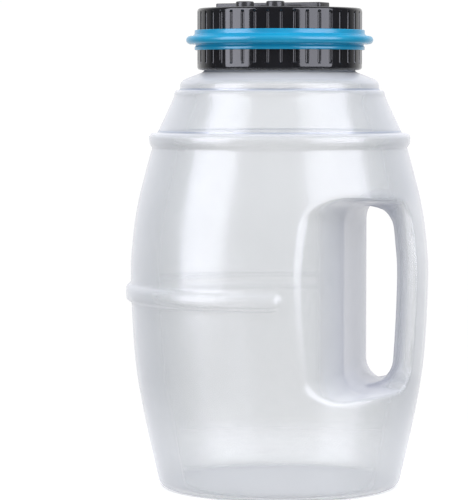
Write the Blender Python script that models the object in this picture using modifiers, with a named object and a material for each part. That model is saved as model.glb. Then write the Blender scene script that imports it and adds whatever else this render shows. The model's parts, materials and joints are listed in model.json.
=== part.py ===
"""Digital coin counting jar: a barrel-shaped jar with a see-through handle, and a screw lid that counts coins.

The origin is the centre of the jar's flat bottom, +Z is up and +X points to the handle. The jar is
symmetric about the XZ plane. The lid's own frame has its X along the coin slot and its Y towards
the display; it is turned by LID_ANGLE about the jar's axis.
"""

from math import cos, hypot, pi, radians, sin

import bmesh
import bpy

MM = 0.001

# Jar
WALL = 1.4
BOTTOM = 1.6
BARREL = ((61.0, 5), (66.6, 30), (72.2, 63), (74.4, 103), (73.5, 123), (70.5, 143.3), (63.7, 169.6))
BARREL_ROWS = 9
BELLY_R = 74.4
NECK_R = 37.3
RIM_Z = 222.0
RIB_TOP, RIB_BOTTOM, RIB_STEP = 101.6, 93.4, 2.4
RIB_END_X = 14.2
JAR_STEPS = 40

# Handle: reach from the XZ plane, inner wall x, outer wall x, low z, high z
HANDLE = (
    (0, 38.7, 60.8, 54.0, 141.5),
    (12, 38.7, 60.8, 54.0, 141.5),
    (16, 38.7, 64.0, 53.5, 142.0),
    (19.2, 38.7, 71.5, 53.0, 142.5),
    (24, 38.7, 84.0, 52.2, 143.0),
    (36, 38.7, 84.0, 50.8, 144.1),
    (46, 35.6, 84.0, 50.0, 145.0),
    (58, 31.5, 84.0, 48.8, 145.8),
    (70.4, 22.9, 84.0, 48.0, 146.0),
    (82, 14.0, 84.0, 47.5, 146.5),
)
HANDLE_CORNER = 11.0

# Screw thread between the neck and the lid
LEAD = 5.0
NECK_CREST_R, NECK_THREAD_Z, NECK_TURNS = 38.5, 212.0, 1.25
LID_CREST_R, LID_THREAD_Z, LID_TURNS = 37.7, 209.5, 0.75
THREAD_ROOT, THREAD_CREST = 1.1, 0.6

# Lid shell
LID_ANGLE = radians(-15)
LID_R, LID_BORE_R = 41.1, 38.9
LID_LOW, DECK_LOW, DECK_TOP = 208.1, 236.2, 238.7
GROOVES, GROOVE_DEPTH = 40, 0.8
BAND_LOW, BAND_TOP, BAND_R, BEAD_R = 218.0, 228.0, 42.4, 46.6
GAP = 0.3

# Top face of the lid, in its own frame
WINDOW = (0.0, 17.3, 42.4, 14.5)
BLOCK = (0.2, -8.7, 57.6, 12.0)
BLOCK_TOP = 241.2
SLOT_Y, SLOT_W = -8.7, 3.2
SLOT_X0, SLOT_X1 = -10.5, 23.3
CHUTE_X1, CHUTE_WALL = 26.6, 1.2
SCOOP_X, SCOOP_LENGTH, SCOOP_WIDTH, SCOOP_DEPTH = 6.4, 24.3, 10.6, 1.7
BUTTONS = (("plus_button", -6.3), ("minus_button", 10.3))
BUTTON_Y, BUTTON_R, BUTTON_TOP = -26.0, 4.5, 241.6

# Inside the lid
PIVOT_X, PIVOT_Z, PIN_R = 23.5, 233.2, 1.0
BOARD_LOW, BOARD_TOP = 229.0, 230.2
PLATE_LOW, PLATE_TOP, PLATE_R = 222.3, 224.3, 37.5
PLATE_SCREWS = ((-31.5, -1.0), (31.5, -1.0), (-22.0, -25.0), (22.0, -25.0))
BOARD_SCREWS = ((-19.5, 1.0), (19.5, 1.0), (-17.0, -15.0))
BOX_X, BOX_Y0, BOX_Y1, BOX_WALL, BOX_LOW = 26.5, -1.5, 23.1, 1.5, 209.8
CELL_R, CELL_LENGTH, CELL_Z, CELL_YS = 5.25, 44.5, 216.4, (5.4, 16.2)
DOOR_SCREW = (29.6, 12.0)
DOOR_LOW = 208.1

MATERIALS = {
    "jar_plastic": ((0.84, 0.86, 0.93), 0.3, 0.0, 0.4),
    "black_gloss": ((0.02, 0.02, 0.022), 0.12, 0.0, 1.0),
    "deck_satin": ((0.09, 0.088, 0.1), 0.4, 0.0, 1.0),
    "blue_rubber": ((0.03, 0.36, 0.68), 0.3, 0.0, 1.0),
    "clear_plastic": ((0.95, 0.97, 0.97), 0.05, 0.0, 0.3),
    "lcd_green": ((0.62, 0.72, 0.63), 0.25, 0.0, 1.0),
    "white_plastic": ((0.75, 0.75, 0.73), 0.5, 0.0, 1.0),
    "zebra_rubber": ((0.35, 0.2, 0.25), 0.7, 0.0, 1.0),
    "board_green": ((0.02, 0.16, 0.07), 0.45, 0.0, 1.0),
    "black_epoxy": ((0.015, 0.015, 0.015), 0.35, 0.0, 1.0),
    "grey_rubber": ((0.25, 0.25, 0.26), 0.7, 0.0, 1.0),
    "steel": ((0.6, 0.6, 0.6), 0.25, 1.0, 1.0),
    "copper": ((0.75, 0.42, 0.2), 0.3, 1.0, 1.0),
    "black_plastic": ((0.03, 0.03, 0.03), 0.45, 0.0, 1.0),
    "cell_label": ((0.1, 0.12, 0.16), 0.35, 0.4, 1.0),
    "red_wire": ((0.6, 0.02, 0.02), 0.4, 0.0, 1.0),
    "black_wire": ((0.02, 0.02, 0.02), 0.4, 0.0, 1.0),
}


# ---------------------------------------------------------------- helpers


def clear_scene():
    for old in list(bpy.data.objects):
        bpy.data.objects.remove(old, do_unlink=True)


def new_collection(name):
    made = bpy.data.collections.new(name)
    bpy.context.scene.collection.children.link(made)
    return made


def new_material(name):
    colour, roughness, metallic, alpha = MATERIALS[name]
    made = bpy.data.materials.new(name)
    made.use_nodes = True
    shader = made.node_tree.nodes["Principled BSDF"]
    shader.inputs["Base Color"].default_value = (*colour, 1.0)
    shader.inputs["Roughness"].default_value = roughness
    shader.inputs["Metallic"].default_value = metallic
    shader.inputs["Alpha"].default_value = alpha
    return made


def new_object(name, data, parent=None, at=(0, 0, 0)):
    """An object of this mesh or curve. It is a cutter until finish() makes it a part."""
    made = bpy.data.objects.new(name, data)
    cutters.objects.link(made)
    made.hide_render = True
    made.display_type = "WIRE"
    made.parent = parent
    made.location = [v * MM for v in at]
    return made


def finish(part, material, smooth=True):
    """Makes an object a part of the jar, with its own material."""
    cutters.objects.unlink(part)
    parts.objects.link(part)
    part.hide_render = False
    part.display_type = "TEXTURED"
    part.data.materials.clear()
    own = new_material(material)
    own.name = f"{part.name}_{material}"
    part.data.materials.append(own)
    if smooth and part.type == "MESH":
        part.data.shade_smooth()
        part.data.set_sharp_from_angle(angle=radians(35))
    return part


def mesh_of(name, build):
    """A mesh filled by build(bm), which works in millimetres."""
    bm = bmesh.new()
    build(bm)
    bmesh.ops.scale(bm, vec=(MM, MM, MM), verts=bm.verts)
    made = bpy.data.meshes.new(name)
    bm.to_mesh(made)
    bm.free()
    return made


def box(name, low, high, parent=None, at=(0, 0, 0)):
    def build(bm):
        bmesh.ops.create_cube(bm, size=1.0)
        size = [h - l for l, h in zip(low, high)]
        middle = [(h + l) / 2 for l, h in zip(low, high)]
        bmesh.ops.scale(bm, vec=size, verts=bm.verts)
        bmesh.ops.translate(bm, vec=middle, verts=bm.verts)

    return new_object(name, mesh_of(name, build), parent, at)


def turned(name, profile, steps, parent=None, at=(0, 0, 0)):
    """A profile of (radius, z) turned about Z. It runs down its outer side."""

    def build(bm):
        points = [bm.verts.new((r, 0, z)) for r, z in profile]
        for a, b in zip(points, points[1:]):
            bm.edges.new((a, b))
        if profile[0][0] > 0:
            bm.edges.new((points[-1], points[0]))

    made = new_object(name, mesh_of(name, build), parent, at)
    screw = made.modifiers.new("turn", "SCREW")
    screw.steps = screw.render_steps = steps
    screw.use_merge_vertices = True
    screw.merge_threshold = 0.00001
    screw.use_smooth_shade = True
    return made


def rod(name, radius, low, high, steps=16, parent=None, at=(0, 0, 0)):
    return turned(name, ((0, high), (radius, high), (radius, low), (0, low)), steps, parent, at)


def meshed(made):
    """The evaluated mesh of a curve or a modified object, with its loose caps welded, in its place."""
    bpy.context.view_layer.update()
    graph = bpy.context.evaluated_depsgraph_get()
    mesh = bpy.data.meshes.new_from_object(made.evaluated_get(graph))
    bm = bmesh.new()
    bm.from_mesh(mesh)
    bmesh.ops.remove_doubles(bm, verts=bm.verts, dist=0.000001)
    bm.to_mesh(mesh)
    bm.free()
    name, parent, at = made.name, made.parent, [v / MM for v in made.location]
    bpy.data.objects.remove(made, do_unlink=True)
    return new_object(name, mesh, parent, at)


def plate(name, outline, low, high, parent=None, at=(0, 0, 0)):
    """A flat outline of (x, y) points between two heights."""
    curve = bpy.data.curves.new(name, "CURVE")
    curve.dimensions = "2D"
    curve.fill_mode = "BOTH"
    curve.extrude = (high - low) / 2 * MM
    spline = curve.splines.new("POLY")
    spline.points.add(len(outline) - 1)
    for point, (x, y) in zip(spline.points, outline):
        point.co = (x * MM, y * MM, 0, 1)
    spline.use_cyclic_u = True
    made = meshed(new_object(name, curve, parent, at))
    for vertex in made.data.vertices:
        vertex.co.z += (low + high) / 2 * MM
    return made


def wire(name, points, radius, parent=None, at=(0, 0, 0)):
    curve = bpy.data.curves.new(name, "CURVE")
    curve.dimensions = "3D"
    curve.bevel_depth = radius * MM
    curve.bevel_resolution = 1
    curve.use_fill_caps = True
    spline = curve.splines.new("POLY")
    spline.points.add(len(points) - 1)
    for point, (x, y, z) in zip(spline.points, points):
        point.co = (x * MM, y * MM, z * MM, 1)
    return meshed(new_object(name, curve, parent, at))


def loft(name, rings, parent=None, at=(0, 0, 0)):
    """A skin over closed rings of points, with its two ends capped."""

    def build(bm):
        rows = [[bm.verts.new(point) for point in ring] for ring in rings]
        for low, high in zip(rows, rows[1:]):
            for i in range(len(low)):
                j = (i + 1) % len(low)
                bm.faces.new((low[i], low[j], high[j], high[i]))
        bm.faces.new(reversed(rows[0]))
        bm.faces.new(rows[-1])
        bmesh.ops.recalc_face_normals(bm, faces=bm.faces)

    return new_object(name, mesh_of(name, build), parent, at)


def combine(target, other, operation):
    made = target.modifiers.new(f"{operation.lower()}_{other.name}", "BOOLEAN")
    made.operation = operation
    made.object = other


def cut(target, *others):
    for other in others:
        combine(target, other, "DIFFERENCE")


def unite(target, *others):
    for other in others:
        combine(target, other, "UNION")


def soften(target, width, segments=2):
    bevel = target.modifiers.new("soften", "BEVEL")
    bevel.width = width * MM
    bevel.segments = segments
    bevel.limit_method = "ANGLE"


def smooth_through(points, rows):
    """Points at even steps along a Catmull-Rom curve through the given ones."""
    ends = [points[0], *points, points[-1]]
    spans = len(points) - 1
    found = []
    for i in range(rows + 1):
        along = i * spans / rows
        k = min(int(along), spans - 1)
        t = along - k
        a, b, c, d = ends[k : k + 4]
        found.append(
            tuple(
                (2 * b[n] + (c[n] - a[n]) * t
                 + (2 * a[n] - 5 * b[n] + 4 * c[n] - d[n]) * t**2
                 + (3 * b[n] - a[n] - 3 * c[n] + d[n]) * t**3) / 2
                for n in (0, 1)
            )
        )
    return found


def rounded(middle_x, middle_y, width, height, corner, steps=4):
    """The outline of a rectangle with round corners."""
    found = []
    for quarter in range(4):
        turn = quarter * pi / 2
        side_x = 1 if quarter in (0, 3) else -1
        side_y = 1 if quarter in (0, 1) else -1
        for i in range(steps + 1):
            a = turn + i * pi / 2 / steps
            x = middle_x + side_x * (width / 2 - corner) + corner * cos(a)
            y = middle_y + side_y * (height / 2 - corner) + corner * sin(a)
            found.append((x, y))
    return found


def thread(name, root, crest, low, turns, start, parent=None, steps=32):
    """A helical ridge between two radii, which fades into its wall at both ends."""
    rings = []
    count = round(turns * steps)
    for i in range(count + 1):
        a = start + 2 * pi * i / steps
        fade = min(1.0, 0.15 + min(i, count - i) / 4)
        tip = root + (crest - root) * fade
        z = low + LEAD * i / steps
        ring = []
        for r, dz in ((root, -THREAD_ROOT), (tip, -THREAD_CREST), (tip, THREAD_CREST), (root, THREAD_ROOT)):
            ring.append((r * cos(a), r * sin(a), z + dz))
        rings.append(ring)
    return loft(name, rings, parent)


def screw_part(name, at, head_r, head_h, shank_r, length, parent):
    """A pan-head screw pointing up, its head's flat side at its origin's height, with a cross recess."""
    profile = (
        (0, length),
        (shank_r * 0.5, length),
        (shank_r, length - shank_r),
        (shank_r, 0),
        (head_r, 0),
        (head_r, -head_h * 0.6),
        (head_r * 0.7, -head_h),
        (0, -head_h),
    )
    made = turned(name, profile, 12, parent, at)
    arm, deep = head_r * 0.55, head_h * 0.55
    for i, (x, y) in enumerate(((arm, 0.22), (0.22, arm))):
        low, high = (-x, -y, -head_h - 0.5), (x, y, -head_h + deep - i * 0.05)
        cut(made, box(f"{name}_recess_{i + 1}", low, high, parent, at))
    return finish(made, "steel")


# ---------------------------------------------------------------- jar


def belly_radius(z):
    """The barrel's outer radius at a height, along its profile."""
    curve = smooth_through(BARREL, 60)
    for (r0, z0), (r1, z1) in zip(curve, curve[1:]):
        if z0 <= z <= z1:
            return r0 + (r1 - r0) * (z - z0) / (z1 - z0)
    return curve[0][0]


def handle_rings(grow):
    """Sections of the hand hole along Y, grown by a wall's thickness."""
    half = []
    for i, (reach, x0, x1, z0, z1) in enumerate(HANDLE):
        before, after = HANDLE[max(i - 1, 0)], HANDLE[min(i + 1, len(HANDLE) - 1)]
        run = after[0] - before[0]
        spread = [grow * hypot(1, (after[k] - before[k]) / run) for k in (1, 2, 3, 4)]
        half.append((reach, x0 - spread[0], x1 + spread[1], z0 - spread[2], z1 + spread[3]))
    stations = [(-s[0], *s[1:]) for s in reversed(half[1:])] + half
    rings = []
    for y, x0, x1, z0, z1 in stations:
        ring = []
        outline = rounded((x0 + x1) / 2, (z0 + z1) / 2, x1 - x0, z1 - z0, HANDLE_CORNER + grow)
        middle = [(x1, z0 + (z1 - z0) * part) for part in (0.3, 0.5, 0.7)]
        for x, z in middle[1:] + outline + middle[:1]:
            share = (x - x0) / (x1 - x0)
            lean = BELLY_R - belly_radius(min(max(z, 6), 169))
            ring.append((x - lean * share, y, z))
        rings.append(ring)
    return rings


def make_jar():
    shoulder = (
        (NECK_R, RIM_Z), (NECK_R, 208.5), (38.1, 207.1), (44.2, 204.9), (48.0, 203.3), (49.6, 201.4),
        (49.9, 198.9), (52.5, 197.2), (52.7, 194.6), (60.4, 178.2), (64.0, 176.6), (65.2, 175.1),
        (65.0, 171.6),
    )
    inner_shoulder = (
        (NECK_R - WALL, 208.2), (36.6, 206.0), (43.6, 203.4), (48.1, 200.6), (51.2, 194.4),
        (59.4, 177.0), (62.6, 174.0),
    )
    barrel = smooth_through(BARREL, BARREL_ROWS)[::-1]
    inner_barrel = [(r - WALL, z) for r, z in barrel]
    outer = [(0, RIM_Z), *shoulder, *barrel, (60.2, 2.1), (58.2, 0.6), (55.6, 0), (0, 0)]
    inner = [(0, RIM_Z + 3), (NECK_R - WALL, RIM_Z + 3), *inner_shoulder, *inner_barrel]
    inner += [(58.0, BOTTOM + 1.6), (55.0, BOTTOM), (0, BOTTOM)]
    jar = turned("jar_body", outer, JAR_STEPS)
    core = turned("jar_cavity", inner, JAR_STEPS)
    unite(jar, make_rib(), thread("neck_thread", NECK_R - 0.7, NECK_CREST_R, NECK_THREAD_Z, NECK_TURNS, 0))
    cut(core, loft("handle_inside", handle_rings(WALL)))
    cut(jar, loft("handle_hole", handle_rings(0)), core)
    finish(jar, "jar_plastic")


def make_rib():
    """The middle rib, which stops short of the handle's scoops on both sides."""
    out = BELLY_R + RIB_STEP
    profile = (
        (70, RIB_TOP), (out - 3.6, RIB_TOP), (out - 0.9, RIB_TOP - 0.9), (out, RIB_TOP - 2.6),
        (out, RIB_BOTTOM + 2.6), (out - 0.9, RIB_BOTTOM + 0.9), (out - 3.6, RIB_BOTTOM), (70, RIB_BOTTOM),
    )
    rib = turned("middle_rib", profile, JAR_STEPS)
    cut(rib, box("rib_end", (RIB_END_X, -90, 85), (90, 90, 110)))
    return rib


# ---------------------------------------------------------------- lid


def fluted_ring(radius, z, fluted):
    ring = []
    for i in range(GROOVES):
        for offset, down in ((-0.13, 0), (0.0, GROOVE_DEPTH), (0.13, 0)):
            a = 2 * pi * (i + offset) / GROOVES
            r = radius - (down if fluted else 0)
            ring.append((r * cos(a), r * sin(a), z))
    return ring


def make_lid_cap():
    rows = (
        (LID_R - 0.7, LID_LOW, False), (LID_R, LID_LOW + 0.8, False), (LID_R, LID_LOW + 2.9, False),
        (LID_R, LID_LOW + 3.9, True), (LID_R, DECK_TOP - 3.0, True), (LID_R, DECK_TOP - 1.8, False),
        (LID_R - 0.4, DECK_TOP - 0.6, False), (LID_R - 1.4, DECK_TOP, False),
    )
    cap = loft("lid_cap", [fluted_ring(*row) for row in rows], lid)
    cut(cap, rod("lid_bore", LID_BORE_R, LID_LOW - 5, DECK_LOW, 48, lid))
    lid_crest = thread("lid_thread", LID_BORE_R + 0.7, LID_CREST_R, LID_THREAD_Z, LID_TURNS, -LID_ANGLE, lid)
    unite(cap, lid_crest)
    for i, (x, y) in enumerate(PLATE_SCREWS):
        unite(cap, rod(f"plate_post_{i + 1}", 2.6, PLATE_TOP + GAP, DECK_LOW + 0.5, 12, lid, (x, y, 0)))
        cut(cap, rod(f"plate_post_hole_{i + 1}", 1.4, PLATE_TOP - 1, DECK_LOW - 2, 12, lid, (x, y, 0)))
    for i, (x, y) in enumerate(BOARD_SCREWS):
        unite(cap, rod(f"board_post_{i + 1}", 2.2, BOARD_TOP + GAP, DECK_LOW + 0.5, 12, lid, (x, y, 0)))
        cut(cap, rod(f"board_post_hole_{i + 1}", 1.1, BOARD_TOP - 1, DECK_LOW - 1, 12, lid, (x, y, 0)))
    window = plate("window_hole", rounded(*WINDOW, 2.2), DECK_LOW - 3, DECK_TOP + 3, lid)
    chute_middle = (SLOT_X0 + CHUTE_X1) / 2
    chute_length = CHUTE_X1 - SLOT_X0 + 2 * (CHUTE_WALL + GAP)
    chute_width = SLOT_W + 2 * (CHUTE_WALL + GAP)
    outline = rounded(chute_middle, SLOT_Y, chute_length, chute_width, 0.8, 1)
    cut(cap, window, plate("chute_hole", outline, DECK_LOW - 3, DECK_TOP + 3, lid))
    for name, x in BUTTONS:
        cut(cap, rod(f"{name}_hole", BUTTON_R + GAP, DECK_LOW - 3, DECK_TOP + 3, 24, lid, (x, BUTTON_Y, 0)))
    finish(cap, "black_gloss")


def make_grip_band():
    middle = 223.0
    profile = (
        (LID_R + GAP, BAND_TOP), (BAND_R, BAND_TOP), (BAND_R, middle + 2.6), (BEAD_R - 1.3, middle + 1.9),
        (BEAD_R, middle + 0.7), (BEAD_R, middle - 0.7), (BEAD_R - 1.3, middle - 1.9),
        (BAND_R, middle - 2.6), (BAND_R, BAND_LOW), (LID_R + GAP, BAND_LOW),
    )
    finish(turned("grip_band", profile, 48), "blue_rubber")


def make_coin_guide():
    """The raised slot block, with the chute that leads coins past the lever."""
    x, y, length, width = BLOCK
    block = plate("coin_guide", rounded(x, y, length, width, 1.5, 3), DECK_TOP + GAP, BLOCK_TOP, lid)
    soften(block, 0.5)
    middle = (SLOT_X0 + CHUTE_X1) / 2
    long = CHUTE_X1 - SLOT_X0
    outer = rounded(middle, SLOT_Y, long + 2 * CHUTE_WALL, SLOT_W + 2 * CHUTE_WALL, 0.6, 1)
    unite(block, plate("chute_walls", outer, PLATE_TOP + GAP, DECK_TOP + 1.2, lid))
    slot_middle = (SLOT_X0 + SLOT_X1) / 2
    slot = rounded(slot_middle, SLOT_Y, SLOT_X1 - SLOT_X0, SLOT_W, 0.4, 1)
    half = SLOT_W / 2
    space = box("chute_space", (SLOT_X0, SLOT_Y - half, PLATE_TOP - 2), (CHUTE_X1, SLOT_Y + half, 239.6), lid)
    cut(block, plate("slot_hole", slot, DECK_TOP - 1, BLOCK_TOP + 2, lid), space, make_finger_scoop())
    pin_hole = rod("pin_hole", PIN_R + GAP, -5, 5, 16, lid, (PIVOT_X, SLOT_Y, PIVOT_Z))
    pin_hole.rotation_euler = (pi / 2, 0, 0)
    cut(block, pin_hole)
    finish(block, "deck_satin")


def make_finger_scoop():
    """An almond-shaped hollow: a spindle along the slot, flattened in height."""
    half = SCOOP_LENGTH / 2
    wide = SCOOP_WIDTH / 2
    arc_r = (half**2 + wide**2) / (2 * wide)
    profile = []
    for i in range(9):
        along = half * (1 - i / 4)
        radius = max(0.0, (arc_r**2 - along**2) ** 0.5 - (arc_r - wide))
        profile.append((0 if i in (0, 8) else radius, along))
    scoop = turned("finger_scoop", profile, 16, lid, (SCOOP_X, SLOT_Y, BLOCK_TOP))
    scoop.rotation_euler = (0, pi / 2, 0)
    scoop.scale = (SCOOP_DEPTH / wide, 1, 1)
    return scoop


def make_buttons():
    for name, x in BUTTONS:
        low = DECK_LOW - GAP
        profile = (
            (0, BUTTON_TOP), (BUTTON_R - 0.7, BUTTON_TOP), (BUTTON_R - 0.2, BUTTON_TOP - 0.2),
            (BUTTON_R, BUTTON_TOP - 0.7), (BUTTON_R, low), (BUTTON_R + 1.1, low),
            (BUTTON_R + 1.1, low - 1.4), (0, low - 1.4),
        )
        button = turned(name, profile, 24, lid, (x, BUTTON_Y, 0))
        arm, half, deep = 2.3, 0.55, BUTTON_TOP - 0.4
        cut(button, box(f"{name}_across", (-arm, -half, deep), (arm, half, 245), lid, (x, BUTTON_Y, 0)))
        if name == "plus_button":
            cut(button, box(f"{name}_up", (-half, -arm, deep), (half, arm, 245), lid, (x, BUTTON_Y, 0)))
        finish(button, "deck_satin")


def make_lever():
    """The arm that a passing coin swings down, its steel tip and pin, and the disc of its switch."""
    pivot = bpy.data.objects.new("lever_pivot", None)
    parts.objects.link(pivot)
    pivot.parent = lid
    pivot.location = (PIVOT_X * MM, SLOT_Y * MM, PIVOT_Z * MM)
    thick = 2.2
    hub = 2.4
    top = 5.8
    outline = [(-14.4, top), (-2.0, top), (hub, 1.2)]
    outline += [(hub * cos(a), hub * sin(a)) for a in (0, -pi / 4, -pi / 2, -3 * pi / 4)]
    outline += [(-6.5, 1.6), (-14.4, 3.4)]
    arm = plate("coin_lever", outline[::-1], -thick / 2, thick / 2, pivot)
    arm.rotation_euler = (pi / 2, 0, 0)
    cross = rod("lever_bore", PIN_R + 0.3, -4, 4, 16, pivot)
    cross.rotation_euler = (pi / 2, 0, 0)
    cut(arm, cross)
    finish(arm, "black_plastic")
    tip_outline = [(-14.7, 3.5), (-14.7, top), (-15.8, top), (-16.5, top - 0.7), (-16.5, 4.2), (-15.8, 3.5)]
    tip = plate("lever_tip", tip_outline, -thick / 2, thick / 2, pivot)
    tip.rotation_euler = (pi / 2, 0, 0)
    finish(tip, "steel")
    pin = rod("lever_pin", PIN_R, -4.6, 4.6, 16, pivot)
    pin.rotation_euler = (pi / 2, 0, 0)
    finish(pin, "steel")
    disc_profile = ((PIN_R + GAP, 4.6), (2.7, 4.6), (2.7, 3.7), (PIN_R + GAP, 3.7))
    disc = turned("contact_disc", disc_profile, 20, pivot)
    disc.rotation_euler = (pi / 2, 0, 0)
    finish(disc, "copper")


def coil_points(radius, pitch, turns, per_turn=8):
    found = []
    for i in range(round(turns * per_turn) + 1):
        a = 2 * pi * i / per_turn
        found.append((radius * cos(a), radius * sin(a), pitch * i / per_turn))
    return found


def make_lever_spring():
    """A torsion spring round the pin, outside the chute on the display's side."""
    route = [(x, 3.3 + z, y) for x, y, z in coil_points(1.75, 0.65, 2.5)]
    route.append((-1.75, route[-1][1], 2.2))
    spring = wire("lever_spring", route, 0.22, lid, (PIVOT_X, SLOT_Y, PIVOT_Z))
    finish(spring, "steel")


def make_display():
    x, y, _, _ = WINDOW
    frame = plate("lcd_frame", rounded(x, y, 49.6, 21.4, 1.5, 2), BOARD_TOP + GAP, DECK_LOW - GAP, lid)
    cut(frame, plate("lcd_space", rounded(x, y, 46.6, 18.6, 0.8, 1), BOARD_LOW, DECK_TOP, lid))
    finish(frame, "white_plastic")
    finish(plate("display_lens", rounded(x, y, 46.0, 18.0, 0.6, 1), 234.9, 235.9, lid), "clear_plastic")
    finish(plate("lcd_glass", rounded(x, y, 46.0, 18.0, 0.6, 1), 232.6, 234.6, lid), "lcd_green")
    zebra = box("zebra_strip", (-20, 22.9, BOARD_TOP + GAP), (20, 25.3, 232.3), lid)
    finish(zebra, "zebra_rubber", smooth=False)


def make_board():
    outline = [(-25, 26), (-25, -18), (-18, -18), (-18, -31), (17, -31), (17, -20), (22, -20), (22, -12.4),
               (-13.4, -12.4), (-13.4, -5.0), (25, -5.0), (25, 26)]
    board = plate("circuit_board", outline, BOARD_LOW, BOARD_TOP, lid)
    for i, (x, y) in enumerate(BOARD_SCREWS):
        cut(board, rod(f"board_hole_{i + 1}", 1.4, BOARD_LOW - 2, BOARD_TOP + 2, 12, lid, (x, y, 0)))
        screw_part(f"board_screw_{i + 1}", (x, y, BOARD_LOW - GAP), 2.0, 1.3, 0.8, 5.4, lid)
    finish(board, "board_green", smooth=False)
    blob_profile = ((0, BOARD_LOW - GAP), (5, BOARD_LOW - GAP), (4.7, 227.9), (3.2, 227.3), (0, 227.0))
    finish(turned("chip_blob", blob_profile, 16, lid, (5, 10, 0)), "black_epoxy")
    pad = plate("button_pad", rounded(2.4, BUTTON_Y, 27, 10, 3, 3), BOARD_TOP + GAP, 232.9, lid)
    finish(pad, "grey_rubber")
    leaf = box("contact_leaf", (19.9, -13.3, BOARD_TOP + GAP), (20.5, -12.5, 234.6), lid)
    finish(leaf, "copper", smooth=False)


def make_base_plate():
    """The plate that closes the lid's inside, with the battery box under it."""
    base = turned("base_plate", ((0, PLATE_TOP), (PLATE_R, PLATE_TOP), (PLATE_R, PLATE_LOW), (0, PLATE_LOW)),
                  48, lid)
    middle_y, width = (BOX_Y0 + BOX_Y1) / 2, BOX_Y1 - BOX_Y0
    walls = plate("battery_box", rounded(0, middle_y, 2 * BOX_X, width, 1.0, 2), BOX_LOW, PLATE_LOW + 0.5, lid)
    boss = rod("door_boss", 2.9, BOX_LOW, PLATE_LOW + 0.5, 16, lid, (*DOOR_SCREW, 0))
    arm_low, arm_high = (BOX_X - 1, 10.6, BOX_LOW), (DOOR_SCREW[0], 13.4, PLATE_LOW + 0.5)
    unite(base, walls, boss, box("boss_arm", arm_low, arm_high, lid))
    inside = (2 * (BOX_X - BOX_WALL), width - 2 * BOX_WALL)
    space = plate("battery_space", rounded(0, middle_y, *inside, 0.6, 1), BOX_LOW - 3, PLATE_LOW, lid)
    slot_low, slot_high = (SLOT_X0 - GAP, SLOT_Y - 2, PLATE_LOW - 3), (CHUTE_X1 + GAP, SLOT_Y + 2, PLATE_TOP + 3)
    cut(base, space, box("coin_exit", slot_low, slot_high, lid))
    cut(base, rod("door_boss_hole", 1.5, BOX_LOW - 2, BOX_LOW + 9, 12, lid, (*DOOR_SCREW, 0)))
    for i, y in enumerate(CELL_YS):
        slit = ((-25.2, y - 1.8, PLATE_LOW - 2), (-23.8, y + 1.8, PLATE_TOP + 2))
        cut(base, box(f"contact_slit_{i + 1}", *slit, lid))
    for i, (x, y) in enumerate(PLATE_SCREWS):
        cut(base, rod(f"plate_hole_{i + 1}", 1.5, PLATE_LOW - 2, PLATE_TOP + 2, 12, lid, (x, y, 0)))
        screw_part(f"plate_screw_{i + 1}", (x, y, PLATE_LOW - GAP), 2.1, 1.4, 1.0, 9.0, lid)
    finish(base, "black_plastic")


def make_battery(name, y, turn):
    """A small cell along X, with its raised end at +X before it is turned."""
    half = CELL_LENGTH / 2
    profile = (
        (0, half), (1.9, half), (1.9, half - 0.8), (CELL_R - 0.5, half - 0.8), (CELL_R, half - 1.4),
        (CELL_R, 0.6 - half), (CELL_R - 0.6, -half), (0, -half),
    )
    cell = turned(name, profile, 20, lid, (-0.6 if turn else 0.6, y, CELL_Z))
    cell.rotation_euler = (0, -pi / 2 if turn else pi / 2, 0)
    finish(cell, "cell_label")


def make_power():
    make_battery("battery_1", CELL_YS[0], False)
    make_battery("battery_2", CELL_YS[1], True)
    for i, y in enumerate(CELL_YS):
        low, high = (-24.7, y - 3.6, 211.8), (-24.3, y + 3.6, 221.8)
        contact = box(f"battery_contact_{i + 1}", low, high, lid)
        unite(contact, box(f"contact_tab_{i + 1}", (-24.7, y - 1.4, 221.0), (-24.3, y + 1.4, 226.0), lid))
        finish(contact, "steel", smooth=False)
    bridge = box("battery_bridge", (24.3, CELL_YS[0] - 3.6, 211.8), (24.7, CELL_YS[1] + 3.6, 221.8), lid)
    finish(bridge, "steel", smooth=False)
    for name, y, side in (("battery_spring_1", CELL_YS[0], -1), ("battery_spring_2", CELL_YS[1], 1)):
        points = [(side * (23.75 - z), x, y_) for x, y_, z in coil_points(2.6, 0.55, 2)]
        finish(wire(name, points, 0.25, lid, (0, y, CELL_Z)), "steel")
    for name, y, material in (("wire_red", CELL_YS[0], "red_wire"), ("wire_black", CELL_YS[1], "black_wire")):
        route = [(-23.5, y, 225.4), (-21.5, y, 225.6), (-19.8, y - 0.6, 226.2), (-19.0, y - 1.0, 227.2),
                 (-18.8, y - 1.1, BOARD_LOW - GAP)]
        finish(wire(name, smooth_route(route), 0.55, lid), material)


def smooth_route(points, rows=10):
    """A smooth curve in space through the given points."""
    flat = smooth_through([(x, y) for x, y, _ in points], rows)
    high = smooth_through([(z, 0) for _, _, z in points], rows)
    return [(x, y, z) for (x, y), (z, _) in zip(flat, high)]


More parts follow.
